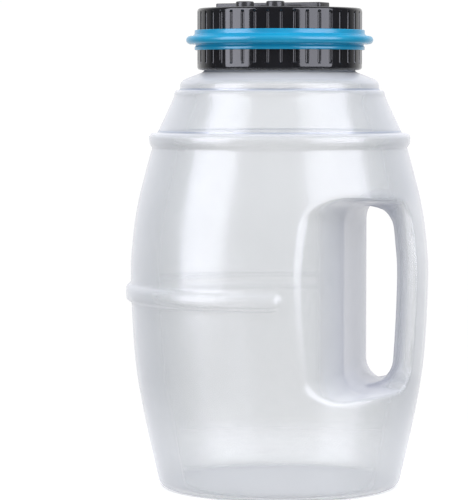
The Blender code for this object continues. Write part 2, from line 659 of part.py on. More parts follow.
def make_battery_door():
    middle_x, middle_y = 0.0, (BOX_Y0 + BOX_Y1) / 2
    width = BOX_Y1 - BOX_Y0
    low, high = DOOR_LOW, BOX_LOW - GAP
    at = (middle_x, middle_y, low)
    door = plate("battery_door", rounded(0, 0, 2 * BOX_X, width, 1.0, 2), 0, high - low, lid, at)
    tab_y = DOOR_SCREW[1] - middle_y
    tab = plate("door_tab", rounded(27.4, tab_y, 10.0, 6.4, 3.1, 5), 0, high - low, lid, at)
    unite(door, tab)
    cut(door, rod("door_hole", 1.5, -3, 5, 12, lid, (*DOOR_SCREW, low)))
    for i in range(3):
        rib_x = -22.0 + 2.2 * i
        rib = ((rib_x, -6, -1), (rib_x + 1.0, 6, 0.4))
        cut(door, box(f"door_grip_{i + 1}", *rib, lid, at))
    finish(door, "black_plastic")
    screw_part("battery_door_screw", (*DOOR_SCREW, low - GAP), 2.2, 1.4, 1.0, 8.5, lid)


clear_scene()
parts = new_collection("coin_counting_jar")
cutters = new_collection("cutters")
lid = bpy.data.objects.new("lid_frame", None)
parts.objects.link(lid)
lid.rotation_euler = (0, 0, LID_ANGLE)

make_jar()
make_grip_band()
make_lid_cap()
make_coin_guide()
make_buttons()
make_lever()
make_lever_spring()
make_display()
make_board()
make_base_plate()
make_power()
make_battery_door()
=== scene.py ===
"""The look of the digital coin counting jar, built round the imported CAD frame.

Sizes are in millimetres here and in metres in the meshes. The axes are the frame's: +Z up, +X towards the handle.
The lid's pieces are made in the lid's own axes, with X along the coin slot, and then turned by LID_ANGLE about Z.
"""

import json
from math import atan2, cos, hypot, pi, radians, sin

import bmesh
import bpy
import numpy as np
from mathutils import Matrix, Vector


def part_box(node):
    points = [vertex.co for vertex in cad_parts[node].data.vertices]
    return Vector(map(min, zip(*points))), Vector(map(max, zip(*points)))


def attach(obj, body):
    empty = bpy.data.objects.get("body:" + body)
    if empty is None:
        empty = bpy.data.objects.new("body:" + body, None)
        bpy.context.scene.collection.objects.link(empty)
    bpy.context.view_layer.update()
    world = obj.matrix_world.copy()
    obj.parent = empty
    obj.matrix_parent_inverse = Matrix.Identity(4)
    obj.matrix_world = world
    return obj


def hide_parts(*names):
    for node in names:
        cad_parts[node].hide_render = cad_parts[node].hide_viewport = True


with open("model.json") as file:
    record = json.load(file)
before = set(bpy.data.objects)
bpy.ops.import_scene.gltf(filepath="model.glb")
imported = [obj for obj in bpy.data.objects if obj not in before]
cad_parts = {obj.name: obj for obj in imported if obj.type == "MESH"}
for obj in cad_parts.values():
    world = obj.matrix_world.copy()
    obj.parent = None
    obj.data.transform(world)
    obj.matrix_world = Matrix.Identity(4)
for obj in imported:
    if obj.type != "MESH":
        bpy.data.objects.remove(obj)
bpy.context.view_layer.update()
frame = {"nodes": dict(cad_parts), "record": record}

MM = 0.001

# ---------------------------------------------------------------- sizes that the CAD sets

WALL = 1.4
# The outer profile in (radius, height): the barrel's is a smooth curve, the shoulder's has small steps.
BARREL = ((61.0, 5), (66.6, 30), (72.2, 63), (74.4, 103), (73.5, 123), (70.5, 143.3), (63.7, 169.6))
SHOULDER = (
    (65.0, 171.6), (65.2, 175.1), (64.4, 176.4), (63.4, 176.8), (62.0, 176.6), (61.0, 176.9), (60.4, 178.2),
    (52.7, 194.6), (52.5, 197.0), (51.8, 197.9), (50.9, 198.1), (50.1, 198.0), (49.7, 198.8), (49.6, 201.4),
    (48.0, 203.3), (44.2, 204.9), (38.1, 207.1), (37.3, 208.5),
)
# Heights of the shoulder's creases, where the jar's material paints a dark line of shade.
SHOULDER_CREASES = (177.7, 198.6, 207.5)
BASE_ROUNDING = 5.0
BELLY_R = 74.4
NECK_R, NECK_LOW = 37.3, 209.5
NECK_CREST_R, NECK_THREAD_Z, NECK_TURNS, LEAD = 38.5, 212.0, 1.25, 5.0
RIB_MIDDLE, RIB_HEIGHT, RIB_STEP, RIB_END_X = 97.5, 8.2, 2.4, 14.2
RIB_CORNER, RIB_ROUNDING, RIB_FILLET = 3.2, 2.4, 1.6
# The hand hole and its scoops at a distance from the middle plane: (distance, x from, x to, z from, z to).
HANDLE = (
    (0, 38.7, 60.8, 54.0, 141.5),
    (12, 38.7, 60.8, 54.0, 141.5),
    (16, 38.7, 64.0, 53.5, 142.0),
    (19.2, 38.7, 71.5, 53.0, 142.5),
    (24, 38.7, 84.0, 52.2, 143.0),
    (36, 38.7, 84.0, 50.8, 144.1),
    (46, 35.6, 84.0, 50.0, 145.0),
    (58, 31.5, 84.0, 48.8, 145.8),
    (70.4, 22.9, 84.0, 48.0, 146.0),
    (82, 14.0, 84.0, 47.5, 146.5),
)
HANDLE_CORNER, HANDLE_FILLET = 11.0, 2.0
RIM_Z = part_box("jar_body")[1].z / MM
LID_LOW, DECK_TOP = (corner.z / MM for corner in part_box("lid_cap"))
BLOCK_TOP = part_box("coin_guide")[1].z / MM
BUTTON_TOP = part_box("plus_button")[1].z / MM
PLATE_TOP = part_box("base_plate")[1].z / MM
GLASS_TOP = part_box("lcd_glass")[1].z / MM
LID_ANGLE = radians(-15)
LID_R, LID_BORE_R, DECK_LOW = 41.1, 38.9, 236.2
LID_CREST_R, LID_THREAD_Z, LID_TURNS = 37.7, 209.5, 0.75
GROOVES, GROOVE_DEPTH, GROOVE_R = 40, 0.8, 0.95
BAND_LOW, BAND_TOP, BAND_R, BEAD_R = 218.0, 228.0, 42.4, 46.6
# The display's window and the slot's raised block: (middle x, middle y, width, height).
WINDOW = (0.0, 17.3, 42.4, 14.5)
BLOCK = (0.2, -8.7, 57.6, 12.0)
SLOT_Y, SLOT_W, SLOT_X0, SLOT_X1 = -8.7, 3.2, -10.5, 23.3
CHUTE_X1, CHUTE_WALL = 26.6, 1.2
PIN_X, PIN_Z, PIN_HOLE_R = 23.5, 233.2, 1.3
SCOOP_X, SCOOP_LENGTH, SCOOP_WIDTH, SCOOP_DEPTH = 6.4, 24.3, 10.6, 1.7
BUTTONS = (("plus_button", -6.3), ("minus_button", 10.3))
BUTTON_Y, BUTTON_R = -26.0, 4.5

# ---------------------------------------------------------------- meshes

SHARP_FROM = 35


def new_piece(name, mesh, material, sharp_from=SHARP_FROM):
    made = bpy.data.objects.new(name, mesh)
    bpy.context.scene.collection.objects.link(made)
    mesh.shade_smooth()
    mesh.set_sharp_from_angle(angle=radians(sharp_from))
    mesh.materials.append(material)
    return made


def mesh_from(name, points, faces):
    mesh = bpy.data.meshes.new(name)
    mesh.from_pydata([[v * MM for v in p] for p in points], [], faces)
    mesh.update()
    return mesh


def skinned(name, rings, closed=False):
    """A skin over rings of points, one after another. closed joins the last ring to the first."""
    count = len(rings[0])
    points = [p for ring in rings for p in ring]
    faces = []
    for i in range(len(rings) if closed else len(rings) - 1):
        a, b = i * count, (i + 1) % len(rings) * count
        for k in range(count):
            n = (k + 1) % count
            faces.append((a + k, a + n, b + n, b + k))
    if not closed:
        faces += [tuple(range(count))[::-1], tuple(range(len(points) - count, len(points)))]
    mesh = mesh_from(name, points, faces)
    outward(mesh)
    return mesh


def outward(mesh):
    bm = bmesh.new()
    bm.from_mesh(mesh)
    bmesh.ops.recalc_face_normals(bm, faces=bm.faces)
    bm.to_mesh(mesh)
    bm.free()


def turned(name, profile, steps, middle=(0, 0)):
    """A closed profile of (radius, z) turned about a vertical axis. Radii of 0 meet at one point."""
    rings = []
    for r, z in profile:
        angles = [2 * pi * i / steps for i in range(steps)]
        rings.append([(middle[0] + r * cos(a), middle[1] + r * sin(a), z) for a in angles])
    hollow = profile[0][0] > 0
    mesh = skinned(name, rings, closed=hollow)
    if not hollow:
        bm = bmesh.new()
        bm.from_mesh(mesh)
        bmesh.ops.remove_doubles(bm, verts=bm.verts, dist=0.000001)
        bm.to_mesh(mesh)
        bm.free()
        outward(mesh)
    return mesh


def arc(middle, radius, start, end, steps):
    """Points along an arc in a profile, angles in degrees."""
    found = []
    for i in range(steps + 1):
        a = radians(start + (end - start) * i / steps)
        found.append((middle[0] + radius * cos(a), middle[1] + radius * sin(a)))
    return found


def rounded(middle_x, middle_y, width, height, corner, steps=6):
    """A rectangle's outline with round corners."""
    found = []
    for quarter in range(4):
        side_x = 1 if quarter in (0, 3) else -1
        side_y = 1 if quarter in (0, 1) else -1
        centre = (middle_x + side_x * (width / 2 - corner), middle_y + side_y * (height / 2 - corner))
        found += arc(centre, corner, quarter * 90, quarter * 90 + 90, steps)
    return found


def slab(name, outline_at, levels):
    """A solid between levels of (z, inset): outline_at(inset) gives the outline there."""
    rings = [[(x, y, z) for x, y in outline_at(inset)] for z, inset in levels]
    return skinned(name, rings)


def rounded_slab(name, place, corner, low, high, edge):
    """A slab with a round top edge."""
    levels = [(low, 0.0)]
    levels += [(z, -inset) for inset, z in arc((-edge, high - edge), edge, 0, 90, 4)]
    x, y, width, height = place

    def outline(inset):
        return rounded(x, y, width - 2 * inset, height - 2 * inset, max(corner - inset, 0.1))

    return slab(name, outline, levels)


def cut_away(target, *cutters):
    """Subtracts meshes from a piece's mesh, for good, and leaves it the one material that it had."""
    material = target.data.materials[0]
    for cutter in cutters:
        tool = bpy.data.objects.new("tool", cutter)
        bpy.context.scene.collection.objects.link(tool)
        tool.matrix_world = target.matrix_world
        knife = target.modifiers.new("cut", "BOOLEAN")
        knife.operation = "DIFFERENCE"
        knife.object = tool
        bpy.context.view_layer.update()
        graph = bpy.context.evaluated_depsgraph_get()
        result = bpy.data.meshes.new_from_object(target.evaluated_get(graph))
        target.modifiers.remove(knife)
        target.data = result
        bpy.data.objects.remove(tool)
    target.data.shade_smooth()
    target.data.set_sharp_from_angle(angle=radians(SHARP_FROM))
    target.data.materials.clear()
    target.data.materials.append(material)


def turn_with_lid(piece):
    piece.matrix_world = Matrix.Rotation(LID_ANGLE, 4, "Z")
    return piece


def settle(piece, body, slot, *nodes):
    """Puts a finished piece on its body, in place of its CAD nodes."""
    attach(piece, body)
    if nodes:
        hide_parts(*nodes)


# ---------------------------------------------------------------- the jar's surface


def smooth_max(a, b, width):
    """The larger of two fields, with the edge where they meet rounded over this width."""
    share = np.clip(0.5 + 0.5 * (a - b) / width, 0, 1)
    return b + (a - b) * share + width * share * (1 - share)


def catmull(points, rows):
    """A smooth curve through points of any size, as a numpy table of rows + 1 lines."""
    p = np.array([points[0], *points, points[-1]], float)
    along = np.linspace(0, len(points) - 1, rows + 1)
    k = np.minimum(along.astype(int), len(points) - 2)
    t = (along - k)[:, None]
    a, b, c, d = p[k], p[k + 1], p[k + 2], p[k + 3]
    return (2 * b + (c - a) * t + (2 * a - 5 * b + 4 * c - d) * t**2 + (3 * b - a - 3 * c + d) * t**3) / 2


def cut_corners(points, times):
    """Chaikin's corner cutting: each corner becomes a short round stretch."""
    p = np.array(points, float)
    for _ in range(times):
        q = np.empty((2 * len(p), p.shape[1]))
        q[0], q[-1] = p[0], p[-1]
        q[1:-1:2] = 0.8 * p[:-1] + 0.2 * p[1:]
        q[2:-1:2] = 0.2 * p[:-1] + 0.8 * p[1:]
        p = q
    return p


NET_TOP, NET_REACH = 165.0, 79  # the net covers the jar up to this height and out to this distance
BARREL_TABLE = catmull(BARREL, 120)
PROFILE = np.vstack([
    [(60.4, -20), (60.4, 2)],
    BARREL_TABLE[:-1],
    cut_corners([BARREL[-1], *SHOULDER, (NECK_R, 214)], 3),
    [(NECK_R, 240)],
])
HANDLE_TABLE = cut_corners(HANDLE, 2)
HANDLE_SLOPES = np.gradient(HANDLE_TABLE, HANDLE_TABLE[:, 0], axis=0)


def barrel_field(x, y, z):
    """The turned body with its rounded base edge, and the points' distance from its axis."""
    r = np.hypot(x, y)
    radius = np.interp(z, PROFILE[:, 1], PROFILE[:, 0])
    step = 0.4
    above = np.interp(z + step, PROFILE[:, 1], PROFILE[:, 0])
    below = np.interp(z - step, PROFILE[:, 1], PROFILE[:, 0])
    wall = (r - radius) / np.hypot(1, (above - below) / (2 * step))
    return smooth_max(wall, -z, BASE_ROUNDING), r


def round_corner(a, b, corner):
    """The field of a region below 0 in both a and b, with a round corner where they meet."""
    a, b = a + corner, b + corner
    return np.hypot(np.maximum(a, 0), np.maximum(b, 0)) + np.minimum(np.maximum(a, b), 0) - corner


def rib_field(x, r, z):
    """The middle rib: a rounded bar round the barrel, with a round end on each side of the handle."""
    high = np.abs(z - RIB_MIDDLE) - RIB_HEIGHT / 2
    past = (x - RIB_END_X) * BELLY_R / np.sqrt(BELLY_R**2 - RIB_END_X**2)
    return smooth_max(r - (BELLY_R + RIB_STEP), round_corner(high, past, RIB_CORNER), RIB_ROUNDING)


def handle_field(x, y, z):
    """The hand hole and its two flared scoops, negative inside."""
    reach = np.abs(y)
    x0, x1, z0, z1 = (np.interp(reach, HANDLE_TABLE[:, 0], HANDLE_TABLE[:, k]) for k in (1, 2, 3, 4))
    s0, s1 = (np.interp(reach, HANDLE_TABLE[:, 0], HANDLE_SLOPES[:, k]) for k in (1, 2))
    lean = BELLY_R - np.interp(np.clip(z, 6, 169), BARREL_TABLE[:, 1], BARREL_TABLE[:, 0])
    across = x + lean * np.clip((x - x0) / (x1 - x0), 0, 1)
    side = np.maximum((x0 - across) / np.hypot(1, s0), (across - x1) / np.hypot(1, s1))
    return round_corner(side, np.maximum(z0 - z, z - z1), HANDLE_CORNER)


def jar_field(x, y, z):
    """Below 0 in the jar's outer solid. The value is close to the distance, in millimetres."""
    barrel, r = barrel_field(x, y, z)
    barrel = -smooth_max(-barrel, -rib_field(x, r, z), RIB_FILLET)
    return smooth_max(barrel, -handle_field(x, y, z), HANDLE_FILLET)


def surface_net(field, low, high, pitch):
    """Points and quads over the surface where field is 0, one point in each grid cell that it crosses."""
    axes = [np.arange(a, b + p, p) for a, b, p in zip(low, high, pitch)]
    grid = np.meshgrid(*axes, indexing="ij")
    value = field(*grid)
    cells = [len(a) - 1 for a in axes]
    total, count = np.zeros((*cells, 3)), np.zeros(cells)
    crossings = []
    for axis in range(3):
        first = [slice(None)] * 3
        second = [slice(None)] * 3
        first[axis], second[axis] = slice(0, -1), slice(1, None)
        a, b = value[tuple(first)], value[tuple(second)]
        cross = (a < 0) != (b < 0)
        share = np.where(cross, a / np.where(cross, a - b, 1), 0)
        point = np.stack([g[tuple(first)] for g in grid], -1)
        point[..., axis] += share * pitch[axis]
        point *= cross[..., None]
        others = [k for k in range(3) if k != axis]
        for i in (0, 1):
            for j in (0, 1):
                part = [slice(None)] * 3
                part[others[0]] = slice(i, i + cells[others[0]])
                part[others[1]] = slice(j, j + cells[others[1]])
                total += point[tuple(part)]
                count += cross[tuple(part)]
        crossings.append((cross, a < 0))
    mixed = count > 0
    index = np.full(cells, -1)
    index[mixed] = np.arange(mixed.sum())
    points = total[mixed] / count[mixed][:, None]
    quads = []
    for axis, (cross, inside) in enumerate(crossings):
        others = [k for k in range(3) if k != axis]
        at = np.argwhere(cross)
        fine = np.ones(len(at), bool)
        for k in others:
            fine &= (at[:, k] > 0) & (at[:, k] < cells[k])
        at = at[fine]
        corners = []
        for i, j in ((1, 1), (0, 1), (0, 0), (1, 0)):
            cell = at.copy()
            cell[:, others[0]] -= i
            cell[:, others[1]] -= j
            corners.append(index[tuple(cell.T)])
        quad = np.stack(corners, -1)
        turn = inside[tuple(at.T)] == (axis != 1)
        quads.append(np.where(turn[:, None], quad, quad[:, ::-1]))
    return points, np.vstack(quads)


def pulled_on(field, points, rounds):
    """Moves points onto the surface, so that the grid's steps don't show."""
    h = 0.05
    for _ in range(rounds):
        value = field(*points.T)
        slope = np.empty_like(points)
        for k in range(3):
            shift = np.zeros(3)
            shift[k] = h
            slope[:, k] = (field(*(points + shift).T) - field(*(points - shift).T)) / (2 * h)
        move = value[:, None] * slope / np.maximum((slope**2).sum(1), 0.05)[:, None]
        points = points - np.clip(move, -0.8, 0.8)
    return points


def relaxed(points, quads):
    """Moves each point half way to the middle of its neighbours."""
    ends = np.vstack([quads[:, [k, (k + 1) % 4]] for k in range(4)])
    ends = np.vstack([ends, ends[:, ::-1]])
    count = np.bincount(ends[:, 0], minlength=len(points))
    total = [np.bincount(ends[:, 0], points[ends[:, 1], k], len(points)) for k in range(3)]
    return points / 2 + np.stack(total, -1) / count[:, None] / 2


def neck_radius(turn, z):
    """The neck's radius with its thread, at a share of a turn and a height."""
    radius = NECK_R
    for along in (turn, turn + 1):
        fade = min(max(min(along, NECK_TURNS - along) / 0.05, 0), 1)
        crest = NECK_R + (NECK_CREST_R - NECK_R) * fade
        radius = max(radius, min(crest, NECK_R + (1.0 - abs(z - NECK_THREAD_Z - LEAD * along)) / 0.45))
    return radius


def shoulder_rings(inside):
    """The turned part above the net: its rows follow the profile, closer where the profile bends."""
    low = NET_TOP + 0.4
    if inside:
        dense = np.linspace(150, RIM_Z + 5, 900)
        radii = np.interp(dense, PROFILE[:, 1], PROFILE[:, 0])
        rows = []
        for z in np.linspace(low, RIM_Z, 70):
            near = np.abs(dense - z) < WALL
            rows.append((float((radii[near] - np.sqrt(WALL**2 - (dense[near] - z) ** 2)).min()), float(z)))
    else:
        profile = PROFILE[(PROFILE[:, 1] > low) & (PROFILE[:, 1] < NECK_LOW)]
        neck = [(NECK_R, z) for z in np.arange(NECK_LOW + 0.2, RIM_Z - 0.1, 0.35)]
        rows = [tuple(row) for row in profile] + neck + [(NECK_R, RIM_Z)]
    rings = []
    steps = 192
    for r, z in rows:
        ring = []
        for k in range(steps):
            turn = k / steps
            out = r if inside or z < NECK_LOW or z > RIM_Z - 0.5 else neck_radius(turn, z)
            ring.append((out * cos(2 * pi * turn), out * sin(2 * pi * turn), z))
        rings.append(ring)
    return rings


def jar_layer(inside):
    """One open surface of the jar, from its base up to the neck's rim."""
    offset = WALL if inside else 0.0

    def field(x, y, z):
        return jar_field(x, y, z) + offset

    pitch = 2.1 if inside else 1.6
    low, high = (-NET_REACH, -NET_REACH, -3), (NET_REACH, NET_REACH, NET_TOP + 5)
    points, quads = surface_net(field, low, high, (pitch, pitch, pitch * 0.8))
    for _ in range(3):
        points = pulled_on(field, relaxed(points, quads), 1)
    points = pulled_on(field, points, 2)
    mesh = mesh_from("layer", points.tolist(), quads.tolist())
    layer = bmesh.new()
    layer.from_mesh(mesh)
    every = [*layer.verts, *layer.edges, *layer.faces]
    bmesh.ops.bisect_plane(layer, geom=every, dist=1e-7, plane_co=(0, 0, NET_TOP * MM), plane_no=(0, 0, 1),
                           clear_outer=True)
    above = []
    for ring in shoulder_rings(inside):
        above.append([layer.verts.new([v * MM for v in point]) for point in ring])
    for a, b in zip(above, above[1:]):
        for k in range(len(a)):
            layer.faces.new((a[k - 1], a[k], b[k], b[k - 1]))
    seam = [e for e in layer.edges if e.is_boundary and max(v.co.z for v in e.verts) < (NET_TOP + 2) * MM]
    bmesh.ops.bridge_loops(layer, edges=seam)
    layer.to_mesh(mesh)
    layer.free()
    return mesh


def make_jar():
    """One closed shell: the outer surface, the inner one a wall's thickness inside it, and the neck's rim."""
    bm = bmesh.new()
    for inside in (False, True):
        mesh = jar_layer(inside)
        bm.from_mesh(mesh)
        bpy.data.meshes.remove(mesh)
    rim = sorted((v for v in bm.verts if v.is_boundary), key=lambda v: hypot(v.co.x, v.co.y))
    half = len(rim) // 2
    inner, outer = (sorted(ring, key=lambda v: atan2(v.co.y, v.co.x)) for ring in (rim[:half], rim[half:]))
    for k in range(half):
        bm.faces.new((inner[k - 1], inner[k], outer[k], outer[k - 1]))
    bmesh.ops.recalc_face_normals(bm, faces=bm.faces)
    mesh = bpy.data.meshes.new("jar")
    bm.to_mesh(mesh)
    bm.free()
    settle(new_piece("jar", mesh, frosted_jar(), 60), "jar", "jar_plastic", "jar_body")


# ---------------------------------------------------------------- the lid's pieces


def make_lid_cap():
    """The black cap: a fluted skirt with a round top edge, and a deck with its openings."""
    pitch = LID_R * 2 * pi / GROOVES
    offsets = [-pitch / 2, -2.2, -1.15, -0.98, -0.9, -0.75, -0.5, -0.2, 0.2, 0.5, 0.75, 0.9, 0.98, 1.15, 2.2]
    groove_low, groove_top = LID_LOW + 3.0, DECK_TOP - 1.7
    side = arc((LID_R - 1.6, LID_LOW + 1.6), 1.6, -90, 0, 7)
    for z in (2.2, 2.7, 3.0, 3.3, 3.7, 4.2, 5.0, 9.0):
        side.append((LID_R, LID_LOW + z))
    for z in (7.0, 3.8, 3.2, 2.6, 2.2, 1.9):
        side.append((LID_R, DECK_TOP - z))
    side += arc((LID_R - 1.5, DECK_TOP - 1.5), 1.5, 0, 90, 6)
    rings = []
    for r, z in side:
        ring = []
        for k in range(GROOVES):
            for across in offsets:
                past = max(groove_low + GROOVE_R - z, z - groove_top + GROOVE_R, 0)
                depth = max(max(GROOVE_R**2 - across**2 - past**2, 0) ** 0.5 - GROOVE_R + GROOVE_DEPTH, 0)
                a = 2 * pi * k / GROOVES + across / LID_R
                ring.append(((r - depth) * cos(a), (r - depth) * sin(a), z))
        rings.append(ring)
    cap = new_piece("cap", skinned("cap", rings), gloss_black())
    bore = turned("bore", [(0, LID_LOW - 4), (LID_BORE_R, LID_LOW - 4), (LID_BORE_R, DECK_LOW - 0.6)]
                  + [(LID_BORE_R - 0.6, DECK_LOW), (0, DECK_LOW)], 160)
    x, y, width, height = WINDOW

    def window(inset):
        return rounded(x, y, width + 2 * inset, height + 2 * inset, 2.2 + inset)

    levels = [(DECK_LOW - 2, 0.0), (DECK_TOP - 0.45, 0.0), (DECK_TOP - 0.2, 0.08), (DECK_TOP, 0.32),
              (DECK_TOP + 0.4, 0.75)]
    tools = [bore, slab("window", window, levels)]
    middle = (SLOT_X0 + CHUTE_X1) / 2
    size = (CHUTE_X1 - SLOT_X0 + 2 * CHUTE_WALL + 0.6, SLOT_W + 2 * CHUTE_WALL + 0.6)

    def chute(inset):
        return rounded(middle, SLOT_Y, *size, 0.8, 2)

    tools.append(slab("chute", chute, [(DECK_LOW - 2, 0), (DECK_TOP + 2, 0)]))
    for name, button_x in BUTTONS:
        hole = [(0, DECK_LOW - 2), (BUTTON_R + 0.3, DECK_LOW - 2), (BUTTON_R + 0.3, DECK_TOP - 0.35),
                (BUTTON_R + 0.65, DECK_TOP), (BUTTON_R + 1.1, DECK_TOP + 0.45), (0, DECK_TOP + 0.45)]
        tools.append(turned(name, hole, 64, (button_x, BUTTON_Y)))
    cut_away(cap, *tools)
    settle(turn_with_lid(cap), "lid", "black_gloss", "lid_cap")


def make_lid_thread():
    """The ridge inside the cap that rides on the neck's thread."""
    root, steps = LID_BORE_R + 0.2, 128
    count = round(LID_TURNS * steps)
    rings = []
    for i in range(count + 1):
        a = 2 * pi * i / steps - LID_ANGLE
        z = LID_THREAD_Z + LEAD * i / steps
        tip = root + (LID_CREST_R - root) * min(1, 0.1 + min(i, count - i) / 12)
        ring = []
        for r, dz in ((root, -1.0), (tip, -0.6), (tip - 0.08, 0), (tip, 0.6), (root, 1.0)):
            ring.append((r * cos(a), r * sin(a), z + dz))
        rings.append(ring)
    ridge = new_piece("lid_thread", skinned("lid_thread", rings), gloss_black())
    settle(turn_with_lid(ridge), "lid", "black_gloss")


def make_grip_band():
    """The blue band with its round bead, and a small groove under the bead."""
    middle = (BAND_LOW + BAND_TOP) / 2
    inner = LID_R + 0.3
    profile = [(inner, BAND_LOW + 0.3), (inner + 0.3, BAND_LOW)]
    profile += arc((BAND_R - 0.45, BAND_LOW + 0.45), 0.45, -90, 0, 4)
    undercut = ((0.0, -3.5), (-0.35, -3.1), (-0.6, -2.6), (-0.5, -2.2), (0.1, -1.95), (1.2, -1.95))
    profile += [(BAND_R + out, middle + up) for out, up in undercut]
    profile += arc((BEAD_R - 2.05, middle), 2.05, -80, 80, 16)
    profile += arc((BAND_R + 1.5, middle + 3.6), 1.5, 270, 180, 6)[:-1]
    profile += arc((BAND_R - 0.45, BAND_TOP - 0.45), 0.45, 0, 90, 4)
    profile += [(inner + 0.3, BAND_TOP), (inner, BAND_TOP - 0.3)]
    band = new_piece("band", turned("band", profile, 224), blue_band(), 50)
    settle(band, "lid_ring", "blue_rubber", "grip_band")


def scoop_mesh():
    """The boat-shaped hollow round the slot, as a closed cutter."""
    half, side = SCOOP_LENGTH / 2, SCOOP_WIDTH / 2
    arc_r = (half**2 + side**2) / (2 * side)
    steps = 32
    rings = []
    for i in range(steps + 1):
        along = -half + 2 * half * i / steps
        width = max((arc_r**2 - along**2) ** 0.5 - (arc_r - side), 0.02)
        ring = []
        for k in range(steps):
            a = 2 * pi * k / steps
            depth = width * sin(a) * SCOOP_DEPTH / side
            ring.append((SCOOP_X + along, SLOT_Y + width * cos(a), BLOCK_TOP + 0.05 + depth))
        rings.append(ring)
    return skinned("scoop", rings)


def make_coin_guide():
    """The raised block round the slot, and the chute that the coins fall through."""
    satin = MATERIALS["deck_satin"]
    mesh = rounded_slab("slot_block", BLOCK, 1.5, DECK_TOP + 0.3, BLOCK_TOP, 0.5)
    block = new_piece("slot_block", mesh, satin)
    slot_middle = (SLOT_X0 + SLOT_X1) / 2

    def slot(inset):
        return rounded(slot_middle, SLOT_Y, SLOT_X1 - SLOT_X0 + 2 * inset, SLOT_W + 2 * inset, 0.6 + inset, 3)

    levels = [(DECK_TOP - 3, 0), (BLOCK_TOP - 0.3, 0), (BLOCK_TOP, 0.22), (BLOCK_TOP + 0.5, 0.6)]
    cut_away(block, scoop_mesh(), slab("slot", slot, levels))
    settle(turn_with_lid(block), "lid", "deck_satin", "coin_guide")

    def wall(inset):
        middle, length = (SLOT_X0 + CHUTE_X1) / 2, CHUTE_X1 - SLOT_X0
        return rounded(middle, SLOT_Y, length - 2 * inset, SLOT_W - 2 * inset, 0.6, 2)

    outer = slab("chute", wall, [(PLATE_TOP + 0.3, -CHUTE_WALL), (DECK_TOP + 0.6, -CHUTE_WALL)])
    inner = slab("chute", wall, [(PLATE_TOP - 2, 0), (DECK_TOP + 2, 0)])
    pin = turned("pin", [(0, -5), (PIN_HOLE_R, -5), (PIN_HOLE_R, 5), (0, 5)], 24)
    pin.transform(Matrix.Translation((PIN_X * MM, SLOT_Y * MM, PIN_Z * MM)) @ Matrix.Rotation(pi / 2, 4, "X"))
    chute = new_piece("chute", outer, satin)
    cut_away(chute, inner, pin)
    settle(turn_with_lid(chute), "lid", "deck_satin")


def make_buttons():
    """The two round buttons, each with its sunk plus or minus sign."""
    low = DECK_LOW - 0.3
    arm, bar = 4.6, 1.1
    levels = [(BUTTON_TOP - 0.45, 0), (BUTTON_TOP - 0.12, 0.03), (BUTTON_TOP + 0.3, 0.3)]
    for name, x in BUTTONS:
        profile = [(0, low - 1.4), (BUTTON_R + 1.1, low - 1.4), (BUTTON_R + 1.1, low), (BUTTON_R, low)]
        profile += arc((BUTTON_R - 0.75, BUTTON_TOP - 0.75), 0.75, 0, 80, 6)
        profile += [(BUTTON_R - 1.6, BUTTON_TOP), (0, BUTTON_TOP)]
        mesh = turned(name, profile, 72, (x, BUTTON_Y))
        button = new_piece(name.replace("_button", "_key"), mesh, MATERIALS["deck_satin"])

        def across(inset):
            return rounded(x, BUTTON_Y, arm + 2 * inset, bar + 2 * inset, 0.25 + inset, 2)

        def upright(inset):
            return rounded(x, BUTTON_Y, bar + 2 * inset, arm + 2 * inset, 0.25 + inset, 2)

        marks = [slab("mark", across, levels)]
        if name == "plus_button":
            marks.append(slab("mark", upright, levels))
        cut_away(button, *marks)
        settle(turn_with_lid(button), name.split("_")[0], "deck_satin", name)


# The display's digits: the bars that make each one, and where its middle is.
DIGITS = (("bc", -8.8), ("abged", -3.0), ("abgcd", 2.8), ("fgbc", 9.2), ("afgcd", 15.0))
DIGIT_WIDTH, DIGIT_HEIGHT, BAR_THICK = 3.7, 8.2, 0.95
POINT_X, POINT_R, SIGN_X = 5.8, 0.55, -17.0
INK_LOW, INK_THICK = GLASS_TOP + 0.03, 0.05


def segment_outline(letter):
    """A seven-segment bar about the digit's middle: a flat hexagon with pointed ends."""
    width, height, t = DIGIT_WIDTH, DIGIT_HEIGHT, BAR_THICK / 2
    bars = {
        "a": (0, height / 2, False), "g": (0, 0, False), "d": (0, -height / 2, False),
        "f": (-width / 2, height / 4, True), "b": (width / 2, height / 4, True),
        "e": (-width / 2, -height / 4, True), "c": (width / 2, -height / 4, True),
    }
    x, y, upright = bars[letter]
    half = ((height / 2 if upright else width) - 0.4) / 2
    shape = [(-half, 0), (-half + t, t), (half - t, t), (half, 0), (half - t, -t), (-half + t, -t)]
    return [(x + v, y + u) if upright else (x + u, y + v) for u, v in shape]


def make_segments():
    """The dark digits of the display, leaning a little, with their point and a currency mark."""
    x0, y0 = WINDOW[0], WINDOW[1] + 1.7
    outlines = []
    for letters, x in DIGITS:
        for letter in letters:
            outlines.append([(x0 + x + u + 0.1 * v, y0 + v) for u, v in segment_outline(letter)])
    angles = [pi * k / 6 for k in range(12)]
    outlines.append([(x0 + POINT_X + POINT_R * cos(a), y0 - 4.3 + POINT_R * sin(a)) for a in angles])
    points, faces = [], []
    for outline in outlines:
        start, count = len(points), len(outline)
        for z in (INK_LOW, INK_LOW + INK_THICK):
            points += [(x, y, z) for x, y in outline]
        faces.append(tuple(range(start, start + count))[::-1])
        faces.append(tuple(range(start + count, start + 2 * count)))
        for i in range(count):
            n = (i + 1) % count
            faces.append((start + i, start + n, start + count + n, start + count + i))
    mesh = mesh_from("digits", points, faces)
    outward(mesh)
    digits = new_piece("display_digits", mesh, MATERIALS["lcd_ink"], 30)
    settle(turn_with_lid(digits), "lid", "lcd_green")
    make_currency_mark(x0 + SIGN_X, y0)


